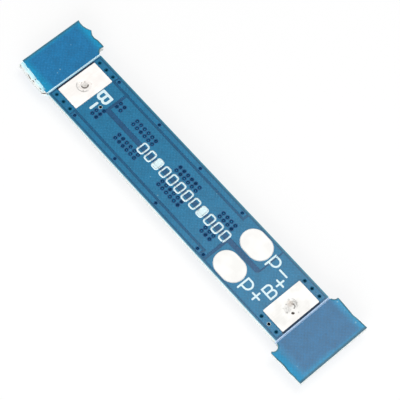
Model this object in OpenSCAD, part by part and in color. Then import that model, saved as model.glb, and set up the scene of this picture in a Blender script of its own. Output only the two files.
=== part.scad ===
// Single-cell lithium protection board, as it comes off its panel: both
// break-off rails are still joined to it through their score lines, and their
// ends are snapped. It stands on its component side with the solder pads up.
// +X runs along the board to its plus end, +Z is up, and the origin lies under
// the middle of the board, on the surface that the component tops rest on.

/* [Laminate] */
// Length of the finished board, from score line to score line
board_l = 38; // [30:0.5:60]
// Width of the finished board
board_w = 7.6; // [7.4:0.1:12]
// Thickness of the glass-fibre laminate
laminate_t = 0.8; // [0.6:0.1:1.6]
// Height of the copper and its mask above the laminate, on each face
relief = 0.05; // [0.03:0.005:0.1]
// Bare margin between the copper and the board's long edges
copper_margin = 0.33; // [0.2:0.01:0.5]

/* [Break-off rails] */
// Width of each rail, from the score line outwards
rail_l = 5; // [4:0.5:10]
// Width of the milled slots that ran beside the board in its panel
slot_w = 1.2; // [0.8:0.1:1.6]
// How far the centre of a slot's round end lies past the score line
slot_overrun = 0.03; // [0:0.01:0.3]
// How much further towards the plus end the near slot lies than the far one
slot_drift = 0.14; // [0:0.01:0.2]
// Depth of the score groove in each face
score_depth = 0.27; // [0.1:0.01:0.29]
// Full angle of the score groove
score_angle = 45; // [30:5:90]
// Thickness of the bare fibre ledge left at one snapped end
ledge_t = 0.45; // [0.2:0.05:0.55]
// Where each snapped edge starts, measured outwards from the score line
snap_start = 0.6; // [0.4:0.05:0.7]

/* [Copper gaps] */
// Gap between the cell-minus and output-minus pours
main_gap = 0.62; // [0.3:0.01:1]
// Gap between the cell-minus and cell-plus pours
cross_gap = 0.4; // [0.3:0.01:0.5]
// Gap beside each gate strip
strip_gap = 0.3; // [0.15:0.01:0.4]
// Gap round isolated pads and traces
fine_gap = 0.18; // [0.12:0.01:0.3]
// Corner radius where the main gap turns to the long edge
gap_corner = 0.5; // [0.4:0.05:0.8]
// Distance of the gate strips' gaps from the long edges
strip_depth = 1.03; // [0.9:0.01:1.2]
// Distance from the minus end's score line to the start of the gate strips
strip_setback = 3.65; // [3.6:0.01:4]
// How far the gate strips run past the middle of the last switch
strip_overrun = 4.05; // [3.8:0.01:4.2]
// Distance from the gap at the minus end to the middle of the first switch
minus_gap_lead = 1.64; // [1.6:0.01:1.7]
// Distance from the gap round the output-minus pour to the plus end's score line
output_gap_setback = 6.9; // [6.8:0.01:7]
// Distance from the gap between the cell pours to the plus end's score line
cross_gap_setback = 11.9; // [11.8:0.01:12]
// Width of a signal trace
trace_w = 0.25; // [0.15:0.01:0.4]

/* [Vias] */
// Bore of a via
via_d = 0.35; // [0.2:0.05:0.4]
// How much wider than its bore a via's land is
via_land = 0.2; // [0.1:0.05:0.25]
// Spacing of the vias in a block, along the board
via_pitch_x = 0.636; // [0.5:0.001:0.8]
// Spacing of the vias in a block, across the board
via_pitch_y = 0.57; // [0.5:0.01:0.8]
// Distance from the board's middle line to the far rows of vias
far_row = 1.05; // [0.9:0.01:1.2]
// Distance from the board's middle line to the near rows of vias
near_row = 0.95; // [0.9:0.01:1.1]
// Distance from the first far block's first via to the first switch
first_far_block = 1.29; // [1.2:0.01:1.3]
// Distance from the first near block's first via to the first switch
first_near_block = 2.4; // [2.3:0.01:2.5]
// Distance from a middle block's first via to the middle between two switches
middle_block = 1.9; // [1.8:0.01:2]
// How much further along each next middle block lies
block_drift = 0.4; // [0:0.01:0.5]
// Distance from the last switch to the last blocks' first vias
last_block = 2.18; // [2.1:0.01:2.2]
// Distance from the last gate via to the spare via beside it
spare_via = 0.94; // [0.8:0.01:1]
// Depth of the gate vias from the long edges
edge_via_depth = 0.62; // [0.55:0.01:0.8]
// Depth of the vias beside the tabs from the long edges
tab_via_depth = 0.73; // [0.6:0.01:0.9]
// Spacing of the vias beside the tabs
tab_via_pitch = 1.15; // [0.8:0.01:1.3]

/* [Nickel tabs] */
// Size of a tab along the board
tab_w = 3.12; // [2.5:0.01:3.2]
// Size of a tab across the board
tab_l = 5.2; // [4:0.1:5.4]
// Thickness of the nickel
tab_t = 0.15; // [0.1:0.01:0.3]
// Corner radius of a tab
tab_corner = 0.1; // [0.05:0.01:0.4]
// Distance from the score line to a tab's outer side, where the tabs lie even
tab_margin = 0.4; // [0.35:0.01:0.6]
// How far both tabs have been laid towards the plus end
tab_drift = 0.07; // [0:0.01:0.1]
// Bore of a tab's solder hole
tab_hole_d = 0.8; // [0.5:0.05:1.2]
// Diameter of the dish pressed round the solder hole
tab_dish_d = 1.42; // [1.3:0.01:2]
// Depth of the dish
tab_dish_depth = 0.06; // [0.02:0.01:0.1]
// Thickness of the solder under a tab
tab_film = 0.05; // [0.03:0.01:0.1]
// Depth of the crater in the minus tab's solder plug
minus_crater = 0.06; // [0.04:0.01:0.07]
// Depth of the crater in the plus tab's solder plug
plus_crater = 0.03; // [0.02:0.01:0.04]
// Width of the solder fillet along a tab's outer side
tab_fillet = 0.18; // [0.1:0.01:0.2]

/* [Output pads] */
// Length of an output pad, along the board
pad_l = 4; // [3:0.1:5]
// Width of an output pad, across the board
pad_w = 3; // [2:0.1:3.1]
// Gap between the two output pads
pad_gap = 0.82; // [0.4:0.01:1]
// Distance from the plus end's score line to the middle of the pads
pad_setback = 9.46; // [8:0.01:10]
// Thickness of the tin on a pad
pad_tin = 0.07; // [0.04:0.01:0.15]

/* [Switches] */
// Number of dual switching transistors
fet_count = 3; // [1:1:3]
// Distance from the minus end's score line to the first one
fet_from_minus = 7.52; // [6.5:0.01:9]
// Distance from the last one to the plus end's score line
fet_to_plus = 16.68; // [12:0.01:18]
// Body size along the board
fet_body_x = 3; // [2.8:0.1:3.1]
// Body size across the board
fet_body_y = 4.4; // [4.2:0.1:4.5]
// Body height
fet_body_h = 1; // [0.8:0.05:1.05]
// Height of the body over the copper
fet_standoff = 0.1; // [0.05:0.01:0.15]
// Span over the tips of the leads
fet_span = 6.4; // [6.2:0.1:6.6]
// Lead spacing
fet_pitch = 0.65; // [0.6:0.05:0.65]
// Lead width
fet_lead_w = 0.24; // [0.19:0.01:0.3]
// Lead thickness
fet_lead_t = 0.13; // [0.09:0.01:0.2]
// Distance from the body to the upright part of a lead
fet_shoulder = 0.27; // [0.12:0.01:0.3]

/* [Controller] */
// Distance from the plus end's score line to the controller
ic_setback = 8.8; // [8:0.1:10]
// Body size along the board
ic_body_x = 2.9; // [2.8:0.1:3.1]
// Body size across the board
ic_body_y = 1.6; // [1.5:0.1:1.8]
// Height of the body over the copper
ic_standoff = 0.06; // [0.04:0.01:0.15]
// Span over the tips of the leads
ic_span = 2.8; // [2.6:0.1:3]
// Lead spacing
ic_pitch = 0.95; // [0.9:0.05:1]
// Lead width
ic_lead_w = 0.4; // [0.3:0.05:0.5]
// Lead thickness
ic_lead_t = 0.15; // [0.1:0.01:0.2]
// Distance from the body to the upright part of a lead
ic_shoulder = 0.12; // [0.1:0.01:0.2]

/* [Chip parts] */
// Distance from the plus end's score line to the row of chip parts
chip_setback = 5.6; // [5.5:0.1:6]
// Spacing of the chip parts across the board
chip_pitch = 1.9; // [1.5:0.1:2.1]
// Length of a chip part
chip_l = 1.6; // [1.5:0.05:1.7]
// Width of a chip part
chip_w = 0.8; // [0.7:0.05:0.9]
// Height of a chip resistor
resistor_h = 0.45; // [0.35:0.05:0.6]
// Height of the chip capacitor
capacitor_h = 0.8; // [0.6:0.05:0.9]
// Length of a chip part's metal end
chip_end = 0.32; // [0.2:0.02:0.4]
// Thickness of that metal
chip_plating = 0.03; // [0.02:0.01:0.05]

/* [Solder] */
// Thickness of the solder under leads and chip ends
solder_film = 0.03; // [0.02:0.01:0.05]
// How far a solder pad reaches past a lead's tip
solder_toe = 0.22; // [0.1:0.01:0.25]
// How far a solder pad reaches past a lead's side
solder_side = 0.06; // [0.02:0.01:0.1]
// How far a solder pad reaches past a lead's heel
solder_heel = 0.1; // [0.05:0.01:0.12]
// How far a chip part's solder pad reaches past its end
chip_toe = 0.26; // [0.2:0.01:0.3]
// How far a chip part's solder pad reaches in past its metal end
chip_heel = 0.1; // [0.05:0.01:0.12]
// How far a chip part's solder pad reaches past its side
chip_side = 0.05; // [0.02:0.01:0.06]

/* [Hidden] */
$fn = 48;

// A little extra length, so that cuts run clear of the faces they pass
slack = 0.02;

// How far the snapped edges stand beyond the board's long edges, read at even
// steps from the score line outwards. "far" is the +Y side of a rail.
minus_far = [0.92, 0.92, 0.92, 0.80, 0.86, 1.22, 0.93, 0.80, 0.79, 0.90];
minus_near = [0.00, -0.22, -0.23, -0.20, -0.28, -0.35, -0.35, -0.35, -0.48, -0.48];
minus_ledge = [0.32, 0.25, 0.28, 0.30, 0.25, 0.22, 0.20, 0.12, 0.08, 0.10];
plus_far = [0.65, 0.62, 0.60, 0.57, 0.54, 0.50, 0.58, 0.62, 0.66, 0.70];
plus_near = [1.22, 1.19, 1.14, 1.08, 1.07, 1.12, 1.13, 1.07, 1.08, 1.07];

// Levels above the resting surface. The underside carries the components.
package_h = fet_standoff + fet_body_h;
under_z = package_h;
laminate_lo = under_z + relief;
laminate_hi = laminate_lo + laminate_t;
top_z = laminate_hi + relief;

half_l = board_l / 2;
half_w = board_w / 2;
copper_y = half_w - copper_margin;

// Places along the board
end_via_x = half_l - tab_margin - tab_w / 2;
function tab_x(side) = side * end_via_x + tab_drift;
pad_x = half_l - pad_setback;
ic_x = half_l - ic_setback;
chip_x = half_l - chip_setback;
first_fet_x = -half_l + fet_from_minus;
last_fet_x = half_l - fet_to_plus;
fet_step = fet_count > 1 ? (last_fet_x - first_fet_x) / (fet_count - 1) : 0;
function fet_x(i) = first_fet_x + i * fet_step;

// Gaps in the copper of the pad side
strip_y = half_w - strip_depth;
strip_start_x = -half_l + strip_setback;
strip_end_x = last_fet_x + strip_overrun;
minus_gap_x = first_fet_x - minus_gap_lead;
output_gap_x = half_l - output_gap_setback;
cross_gap_x = half_l - cross_gap_setback;

// Via blocks: first via, columns and rows
near_row_y = -near_row - via_pitch_y;
via_blocks = concat(
    [[first_fet_x - first_far_block, far_row, 2, 2],
     [first_fet_x - first_near_block, near_row_y, 2, 3],
     [last_fet_x + last_block, far_row, 4, 2],
     [last_fet_x + last_block, near_row_y, 3, 2]],
    [for (i = [1 : 1 : fet_count - 1], y = [far_row, near_row_y])
        [fet_x(i) - fet_step / 2 - middle_block + (i - 1) * block_drift, y, 6, 2]]);
block_vias = [for (block = via_blocks, i = [0 : block[2] - 1], j = [0 : block[3] - 1])
    [block[0] + i * via_pitch_x, block[1] + j * via_pitch_y]];

// Single vias: gate vias in pairs halfway between the switches, a spare one beside
// the last pair, and three along each side of a tab. A lone switch has its gate
// vias at a fixed distance.
lone_gate_run = 3.45;
gate_run = fet_count > 1 ? fet_step / 2 : lone_gate_run;
gate_via_y = half_w - edge_via_depth;
gate_vias = [for (i = [0 : fet_count], side = [-1, 1])
    [first_fet_x + (2 * i - 1) * gate_run, side * gate_via_y]];
spare_vias = [[first_fet_x + (2 * fet_count - 1) * gate_run + spare_via, -gate_via_y]];
tab_vias = [for (end = [-1, 1], i = [-1 : 1], side = [-1, 1])
    [end * end_via_x + i * tab_via_pitch, side * (half_w - tab_via_depth)]];

// Lead rows of a package
function lead_xs(count, pitch) = [for (i = [0 : count - 1]) (i - (count - 1) / 2) * pitch];
fet_leads = lead_xs(4, fet_pitch);
ic_leads = lead_xs(3, ic_pitch);
fet_foot = (fet_span - fet_body_y) / 2 - fet_shoulder - fet_lead_t;
ic_foot = (ic_span - ic_body_y) / 2 - ic_shoulder - ic_lead_t;

// Chip parts in a row across the board: supply resistor, capacitor, sense resistor
chip_land_l = chip_end + chip_toe + chip_heel;
chip_land_x = chip_l / 2 + chip_toe - chip_land_l / 2;
capacitor_y = -chip_pitch;
sense_y = chip_pitch;

// The field that holds them is clear of the pours
field_inset = 0.3;
return_inset = 0.45;
signal_start_x = cross_gap_x + field_inset;
signal_end_x = end_via_x - tab_w / 2 - field_inset;
return_y = copper_y - return_inset;

// Package details: parting band and draft of a body, pin-one dimples, lead bends
body_band = 0.22;
body_draft = 0.08;
fet_dimple = 0.4;
ic_dimple = 0.3;
dimple_depth = 0.06;
dimple_inset = 1.8;
lead_bend = 0.08;

// Copper left clear past the heels of the leads
land_clear = 0.4;

// ---------- flat shapes ----------

// A bar from one point to another, both on a line along X or Y
module bar(from, to, w) {
    size = [abs(to[0] - from[0]) + w, abs(to[1] - from[1]) + w];
    translate((from + to) / 2) square(size, center = true);
}

module round_rect(l, w, r) {
    square([l - 2 * r, w], center = true);
    square([l, w - 2 * r], center = true);
    for (x = [-1, 1], y = [-1, 1])
        translate([x * (l / 2 - r), y * (w / 2 - r)]) circle(r = r);
}

// One quarter of a ring, from 0 to 90 degrees
module quarter_ring(inner, outer) {
    intersection() {
        difference() {
            circle(r = outer, $fn = 32);
            circle(r = inner, $fn = 32);
        }
        square(outer);
    }
}

// The hollow-fronted section of a solder fillet that climbs a wall at x = 0
module fillet_section(size) {
    difference() {
        square(size);
        translate([size, size]) circle(r = size, $fn = 32);
    }
}

// Outline of one rail on the +X side, between two snapped edges and two slots
module rail_outline(far, near, drift) {
    steps = len(far) - 1;
    run = (rail_l - snap_start) / steps;
    snap_x = half_l + snap_start;
    difference() {
        polygon(concat(
            [[half_l, half_w]],
            [for (i = [0 : steps]) [snap_x + i * run, half_w + far[i]]],
            [for (i = [steps : -1 : 0]) [snap_x + i * run, -half_w - near[i]]],
            [[half_l, -half_w]]));
        for (side = [-1, 1])
            translate([half_l + slot_overrun + (side < 0 ? drift : 0),
                       side * (half_w + slot_w / 2)])
                circle(d = slot_w);
    }
}

// Copper of the pad side, cut into its pours and gate strips
module pad_side_copper() {
    difference() {
        square([board_l - 2 * copper_margin, 2 * copper_y], center = true);
        // between cell minus and output minus
        translate([minus_gap_x - fine_gap, -main_gap / 2])
            square([output_gap_x - gap_corner - minus_gap_x + fine_gap, main_gap]);
        translate([output_gap_x - gap_corner, -main_gap / 2]) intersection() {
            translate([0, gap_corner]) circle(r = gap_corner);
            square([gap_corner, main_gap]);
        }
        bar([minus_gap_x, 0], [minus_gap_x, strip_y], 2 * fine_gap);
        bar([output_gap_x - fine_gap / 2, main_gap / 2],
            [output_gap_x - fine_gap / 2, half_w], fine_gap);
        // between cell minus and cell plus
        translate([cross_gap_x - cross_gap / 2, -half_w]) square([cross_gap, half_w]);
        // gate strips along both edges
        for (side = [-1, 1]) {
            bar([strip_start_x, side * strip_y], [strip_end_x, side * strip_y], strip_gap);
            bar([strip_start_x, side * strip_y], [strip_start_x, side * half_w], fine_gap);
            bar([strip_end_x, side * strip_y], [strip_end_x, side * half_w], strip_gap);
        }
    }
    via_lands();
}

// The copper ring round each via that a gap comes near
module via_lands() {
    for (place = concat(block_vias, spare_vias))
        translate(place) circle(d = via_d + via_land, $fn = 16);
}

// The lands that one row of leads stands on
module lead_lands(xs, lead_w, foot, span) {
    land_l = foot + solder_toe + solder_heel;
    for (x = xs, side = [-1, 1])
        translate([x, side * (span / 2 + solder_toe - land_l / 2)])
            square([lead_w + 2 * solder_side, land_l], center = true);
}

// Copper of the component side
module component_side_copper() {
    fet_ends = [fet_leads[0], fet_leads[3]];
    gate_x = fet_leads[3];
    heel_y = fet_span / 2 - fet_foot - land_clear;
    difference() {
        square([board_l - 2 * copper_margin, 2 * copper_y], center = true);
        translate([minus_gap_x, -main_gap / 2])
            square([signal_end_x - minus_gap_x, main_gap]);
        for (i = [0 : fet_count - 1]) translate([fet_x(i), 0]) {
            // drain and gate lands stand free of the pours
            for (x = fet_ends, side = [-1, 1])
                translate([x, side * (copper_y + heel_y) / 2])
                    square([fet_lead_w + 2 * (solder_side + fine_gap), copper_y - heel_y],
                           center = true);
            for (side = [-1, 1])
                bar([gate_x, side * gate_via_y], [gate_run, side * gate_via_y],
                    trace_w + 2 * fine_gap);
        }
        translate([signal_start_x, -copper_y])
            square([signal_end_x - signal_start_x, 2 * copper_y]);
    }
    for (i = [0 : fet_count - 1]) translate([fet_x(i), 0]) {
        intersection() {
            lead_lands(fet_leads, fet_lead_w, fet_foot, fet_span);
            square([fet_body_x, 2 * copper_y], center = true);
        }
        for (side = [-1, 1]) {
            bar([gate_x, side * gate_via_y], [gate_run, side * gate_via_y], trace_w);
            translate([gate_run, side * gate_via_y]) circle(d = via_d + via_land);
        }
    }
    via_lands();
    signal_copper();
}

// Lands and traces round the controller and the chip parts
module signal_copper() {
    corner = [ic_x + ic_leads[2], ic_span / 2 - 0.2];
    feed_x = chip_x - chip_land_x;
    far_x = chip_x + chip_land_x;
    translate([ic_x, 0]) lead_lands(ic_leads, ic_lead_w, ic_foot, ic_span);
    for (y = [capacitor_y, 0, sense_y], side = [-1, 1])
        translate([chip_x + side * chip_land_x, y])
            square([chip_land_l, chip_w + 2 * chip_side], center = true);
    // supply node: controller, supply resistor and capacitor
    bar([corner[0], -corner[1]], [feed_x, -corner[1]], trace_w);
    bar([feed_x, capacitor_y], [feed_x, 0], trace_w);
    bar([far_x, 0], [signal_end_x, 0], trace_w);
    // sense node
    bar([corner[0], corner[1]], [feed_x, corner[1]], trace_w);
    bar([feed_x, corner[1]], [feed_x, sense_y], trace_w);
    // returns along both edges
    for (side = [-1, 1]) {
        bar([far_x, side * chip_pitch], [far_x, side * return_y], trace_w);
        bar([signal_start_x, side * return_y], [far_x, side * return_y], trace_w);
    }
    bar([ic_x, -corner[1]], [ic_x, -return_y], trace_w);
}

// ---------- the board ----------

module laminate() {
    translate([0, 0, laminate_lo]) linear_extrude(laminate_t) {
        square([board_l, board_w], center = true);
        rail_outline(plus_far, plus_near, slot_drift);
        mirror([1, 0]) rail_outline(minus_far, minus_near, -slot_drift);
    }
    // the lower plies of one snapped end reach further than the upper ones
    translate([0, 0, laminate_lo]) linear_extrude(ledge_t)
        mirror([1, 0]) rail_outline(minus_near, minus_ledge, -slot_drift);
}

// A V-shaped score groove across both faces
module score_line() {
    half_top = (score_depth + slack) * tan(score_angle / 2);
    reach = board_w + 4 * slot_w;
    for (face = [0, 1])
        translate([0, 0, face ? laminate_hi : laminate_lo]) mirror([0, 0, 1 - face])
            rotate([90, 0, 0]) linear_extrude(reach, center = true)
                polygon([[0, -score_depth], [half_top, slack], [-half_top, slack]]);
}

module all_vias() {
    for (place = concat(block_vias, gate_vias, spare_vias, tab_vias))
        translate([place[0], place[1], under_z - slack])
            cylinder(d = via_d, h = top_z - under_z + 2 * slack, $fn = 16);
}

module circuit_board() {
    color("steelblue") difference() {
        union() {
            laminate();
            translate([0, 0, laminate_hi - slack]) linear_extrude(relief + slack)
                pad_side_copper();
            translate([0, 0, under_z]) linear_extrude(relief + slack)
                component_side_copper();
        }
        for (side = [-1, 1]) translate([side * half_l, 0, 0]) score_line();
        all_vias();
    }
}

// ---------- pad side ----------

// A nickel tab, with its solder hole sunk in a shallow dish
module nickel_tab(side) {
    hole_r = tab_hole_d / 2;
    color("gainsboro") translate([tab_x(side), 0, top_z + tab_film]) difference() {
        linear_extrude(tab_t) round_rect(tab_w, tab_l, tab_corner);
        translate([0, 0, -slack]) cylinder(r = hole_r, h = tab_t + 2 * slack);
        translate([0, 0, tab_t - tab_dish_depth])
            cylinder(r1 = hole_r, r2 = tab_dish_d / 2, h = tab_dish_depth);
    }
}

// The solder under a tab, its plug in the hole and its fillet outside
module tab_solder(side, crater) {
    hole_r = tab_hole_d / 2;
    plug_h = tab_film + tab_t - tab_dish_depth;
    color("silver") translate([tab_x(side), 0, top_z]) {
        difference() {
            union() {
                linear_extrude(tab_film) round_rect(tab_w, tab_l, tab_corner);
                cylinder(r = hole_r, h = plug_h);
            }
            translate([0, 0, plug_h + crater]) sphere(r = 2 * crater);
        }
        mirror([side < 0 ? 1 : 0, 0]) translate([tab_w / 2, tab_l / 2 - tab_corner, 0])
            rotate([90, 0, 0]) linear_extrude(tab_l - 2 * tab_corner)
                fillet_section(tab_fillet);
    }
}

// The tin on one output pad, with a sloping rim
module output_pad(side) {
    rim = pad_tin;
    span = pad_l - pad_w;
    color("lightgray")
        translate([pad_x, side * (pad_w + pad_gap) / 2, top_z]) {
            for (end = [-1, 1]) translate([end * span / 2, 0, 0])
                cylinder(r1 = pad_w / 2, r2 = pad_w / 2 - rim, h = pad_tin);
            rotate([90, 0, 90]) linear_extrude(span, center = true)
                polygon([[-pad_w / 2, 0], [pad_w / 2, 0],
                         [pad_w / 2 - rim, pad_tin], [rim - pad_w / 2, pad_tin]]);
        }
}

// ---------- component side ----------

// Hangs a part, drawn standing on z = 0, from the board's underside
module on_underside(x, y) {
    translate([x, y, under_z]) rotate([180, 0, 0]) children();
}

// Section of a moulded body: a straight band at the parting line, drafted above and below
module moulded_section(w, h) {
    low = (h - body_band) / 2;
    high = (h + body_band) / 2;
    edge = w / 2 - body_draft;
    polygon([[-w / 2, low], [-edge, 0], [edge, 0], [w / 2, low],
             [w / 2, high], [edge, h], [-edge, h], [-w / 2, high]]);
}

// A moulded package body with its pin-one dimple
module moulded_body(x, y, h, dimple) {
    difference() {
        intersection() {
            rotate([90, 0, 0]) linear_extrude(y, center = true)
                moulded_section(x, h);
            rotate([90, 0, 90]) linear_extrude(x, center = true)
                moulded_section(y, h);
        }
        translate([dimple_inset * dimple - x / 2, y / 2 - dimple_inset * dimple,
                   h - dimple_depth])
            cylinder(d = dimple, h = dimple_depth + slack);
    }
}

// One gull-wing lead in section: shoulder at the body, bend, riser, bend, foot
module gull_section(body_y, span, foot, t, exit_z) {
    wall = span / 2 - foot - t;
    shoulder_z = exit_z - t / 2;
    riser_z = solder_film + t + lead_bend;
    translate([body_y / 2, shoulder_z]) square([wall - lead_bend - body_y / 2, t]);
    translate([wall - lead_bend, shoulder_z - lead_bend])
        quarter_ring(lead_bend, lead_bend + t);
    translate([wall, riser_z]) square([t, shoulder_z - lead_bend - riser_z]);
    translate([wall + t + lead_bend, riser_z]) rotate(180)
        quarter_ring(lead_bend, lead_bend + t);
    translate([wall + t + lead_bend, solder_film]) square([foot - lead_bend, t]);
}

module gull_leads(xs, lead_w, body_y, span, foot, t, exit_z) {
    for (x = xs, turn = [0, 180])
        rotate(turn) translate([x + lead_w / 2, 0, 0]) rotate([90, 0, -90]) mirror([1, 0, 0])
            linear_extrude(lead_w) gull_section(body_y, span, foot, t, exit_z);
}

// Solder under each foot, with a fillet up its tip
module lead_solder(xs, lead_w, span, foot, t) {
    land_l = foot + solder_toe + solder_heel;
    fillet = min(t, solder_toe - solder_film);
    color("silver") for (x = xs, turn = [0, 180]) rotate(turn) translate([x, 0, 0]) {
        translate([-lead_w / 2 - solder_side, span / 2 + solder_toe - land_l, 0])
            cube([lead_w + 2 * solder_side, land_l, solder_film]);
        translate([-lead_w / 2, span / 2, solder_film - slack / 2])
            rotate([90, 0, 90]) linear_extrude(lead_w) fillet_section(fillet);
    }
}

module mosfet_body(i) {
    color("dimgray") on_underside(fet_x(i), 0) translate([0, 0, fet_standoff])
        moulded_body(fet_body_x, fet_body_y, fet_body_h, fet_dimple);
}

module mosfet_leads(i) {
    color("silver") on_underside(fet_x(i), 0)
        gull_leads(fet_leads, fet_lead_w, fet_body_y, fet_span, fet_foot, fet_lead_t,
                   fet_standoff + fet_body_h / 2);
}

module mosfet_solder(i) {
    on_underside(fet_x(i), 0)
        lead_solder(fet_leads, fet_lead_w, fet_span, fet_foot, fet_lead_t);
}

// The controller is as tall as the switches, so that all of them touch one surface
ic_body_h = package_h - ic_standoff;

module protection_ic_body() {
    color("dimgray") on_underside(ic_x, 0) translate([0, 0, ic_standoff])
        moulded_body(ic_body_x, ic_body_y, ic_body_h, ic_dimple);
}

module protection_ic_leads() {
    color("silver") on_underside(ic_x, 0)
        gull_leads(ic_leads, ic_lead_w, ic_body_y, ic_span, ic_foot, ic_lead_t,
                   ic_standoff + ic_body_h / 2);
}

module protection_ic_solder() {
    on_underside(ic_x, 0) lead_solder(ic_leads, ic_lead_w, ic_span, ic_foot, ic_lead_t);
}

// A chip part: a ceramic block whose ends are wrapped in metal
module chip_block(h) {
    translate([0, 0, solder_film + h / 2])
        cube([chip_l - 2 * chip_plating, chip_w - 2 * chip_plating, h - 2 * chip_plating],
             center = true);
}

module chip_ends(h) {
    color("silver") difference() {
        for (side = [-1, 1])
            translate([side * (chip_l - chip_end) / 2, 0, solder_film + h / 2])
                cube([chip_end, chip_w, h], center = true);
        chip_block(h);
    }
}

// Solder under both ends, with a fillet up each end face
module chip_solder(h) {
    land_w = chip_w + 2 * chip_side;
    color("silver") for (turn = [0, 180]) rotate(turn) {
        translate([chip_land_x - chip_land_l / 2, -land_w / 2, 0])
            cube([chip_land_l, land_w, solder_film]);
        translate([chip_l / 2, chip_w / 2, solder_film - slack / 2])
            rotate([90, 0, 0]) linear_extrude(chip_w)
                fillet_section(min(h / 2, chip_toe - solder_film));
    }
}

module supply_resistor_body() {
    color("black") on_underside(chip_x, 0) chip_block(resistor_h);
}

module supply_resistor_ends() {
    on_underside(chip_x, 0) chip_ends(resistor_h);
}

module sense_resistor_body() {
    color("black") on_underside(chip_x, sense_y) chip_block(resistor_h);
}

module sense_resistor_ends() {
    on_underside(chip_x, sense_y) chip_ends(resistor_h);
}

module filter_capacitor_body() {
    color("tan") on_underside(chip_x, capacitor_y) chip_block(capacitor_h);
}

module filter_capacitor_ends() {
    on_underside(chip_x, capacitor_y) chip_ends(capacitor_h);
}

module chip_part_solder() {
    on_underside(chip_x, 0) chip_solder(resistor_h);
    on_underside(chip_x, sense_y) chip_solder(resistor_h);
    on_underside(chip_x, capacitor_y) chip_solder(capacitor_h);
}

circuit_board();
nickel_tab(-1);  // nickel_tab_minus
nickel_tab(1);  // nickel_tab_plus
tab_solder(-1, minus_crater);  // tab_solder_minus
tab_solder(1, plus_crater);  // tab_solder_plus
output_pad(1);  // output_pad_minus
output_pad(-1);  // output_pad_plus
for (i = [0 : fet_count - 1]) {
    mosfet_body(i);
    mosfet_leads(i);
    mosfet_solder(i);
}
protection_ic_body();
protection_ic_leads();
protection_ic_solder();
supply_resistor_body();
supply_resistor_ends();
sense_resistor_body();
sense_resistor_ends();
filter_capacitor_body();
filter_capacitor_ends();
chip_part_solder();
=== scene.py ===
import math

import bmesh
import bpy
from mathutils import Matrix, Vector
from mathutils.bvhtree import BVHTree


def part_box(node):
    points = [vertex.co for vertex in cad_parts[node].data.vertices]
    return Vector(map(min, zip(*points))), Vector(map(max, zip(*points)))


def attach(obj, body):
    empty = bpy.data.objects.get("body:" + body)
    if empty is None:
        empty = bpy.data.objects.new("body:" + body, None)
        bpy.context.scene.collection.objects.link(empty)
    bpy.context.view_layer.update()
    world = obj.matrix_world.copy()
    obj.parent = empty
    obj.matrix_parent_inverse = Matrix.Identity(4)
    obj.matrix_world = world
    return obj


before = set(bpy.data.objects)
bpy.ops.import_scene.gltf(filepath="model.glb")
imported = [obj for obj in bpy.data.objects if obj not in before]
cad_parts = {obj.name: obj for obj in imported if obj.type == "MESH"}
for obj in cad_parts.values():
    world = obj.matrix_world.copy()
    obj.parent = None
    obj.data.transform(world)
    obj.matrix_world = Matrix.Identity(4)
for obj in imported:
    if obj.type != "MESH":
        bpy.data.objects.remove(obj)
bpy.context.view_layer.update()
mm = 0.001
fineDepth = 0.004 * mm  # of the finest relief in a surface
sides = ("minus", "plus")
print("frame loaded:", len(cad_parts), "nodes")

# places that everything else is measured from
boardLow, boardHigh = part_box("circuit_board")
board = {
    "rail": 5 * mm,  # width of each break-off rail
    "width": 7.6 * mm,
    "relief": 0.05 * mm,  # copper and mask above the laminate
    "copperMargin": 0.33 * mm,
    "scoreHalfWidth": 0.156 * mm,
}
halfLength = boardHigh.x - board["rail"]
halfWidth = board["width"] / 2
padSide = boardHigh.z
laminateTop = padSide - board["relief"]
midLevel = (boardLow.z + boardHigh.z) / 2


def centreOf(node):
    low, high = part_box(node)
    return (low + high) / 2


def addObject(name, data):
    piece = bpy.data.objects.new(name, data)
    bpy.context.scene.collection.objects.link(piece)
    return piece


# camera: looks down on the pad side, with the plus end nearest
cameraView = {
    "distance": 178.16 * mm,
    "azimuth": math.radians(45.43),
    "elevation": math.radians(66.25),
    "roll": math.radians(-4.03),
    "lens": 148.58,
    "sensor": 36,
    "clip": (0.005, 5),
    "target": (1.68 * mm, 0.70 * mm),  # on the pad side
}


def makeCamera(view):
    level = math.cos(view["elevation"])
    away = Vector((math.sin(view["azimuth"]) * level, -math.cos(view["azimuth"]) * level,
                   math.sin(view["elevation"])))
    right = Vector((0, 0, 1)).cross(away).normalized()
    up = away.cross(right)
    turned = Matrix.Rotation(-view["roll"], 3, away)
    place = Matrix((turned @ right, turned @ up, away)).transposed().to_4x4()
    place.translation = Vector((*view["target"], padSide)) + away * view["distance"]
    data = bpy.data.cameras.new("camera")
    data.lens, data.sensor_width = view["lens"], view["sensor"]
    data.clip_start, data.clip_end = view["clip"]
    camera = addObject("camera", data)
    camera.matrix_world = place
    bpy.context.scene.camera = camera


makeCamera(cameraView)
print("camera placed")

# small tools for nodes: a value that is a socket is linked, any other is written in, and a
# tool that is given a socket works in that socket's tree


def connect(node, inputs):
    for key, value in inputs.items():
        if isinstance(value, bpy.types.NodeSocket):
            node.id_data.links.new(value, node.inputs[key])
        else:
            node.inputs[key].default_value = value
    return node.id_data


def addNode(tree, kind, inputs=None, settings=None):
    node = tree.nodes.new(kind)
    for name, value in (settings or {}).items():
        setattr(node, name, value)
    connect(node, inputs or {})
    return node


def output(tree, kind, inputs=None, settings=None, which=0):
    return addNode(tree, kind, inputs, settings).outputs[which]


def treeOf(values):
    return next(v.id_data for v in values if isinstance(v, bpy.types.NodeSocket))


def calc(operation, *values):
    return output(treeOf(values), "ShaderNodeMath", dict(enumerate(values)),
                  {"operation": operation})


def plus(a, b):
    return calc("ADD", a, b)


def minus(a, b):
    return calc("SUBTRACT", a, b)


def times(a, b):
    return calc("MULTIPLY", a, b)


def sizeOf(a):
    return calc("ABSOLUTE", a)


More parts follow.
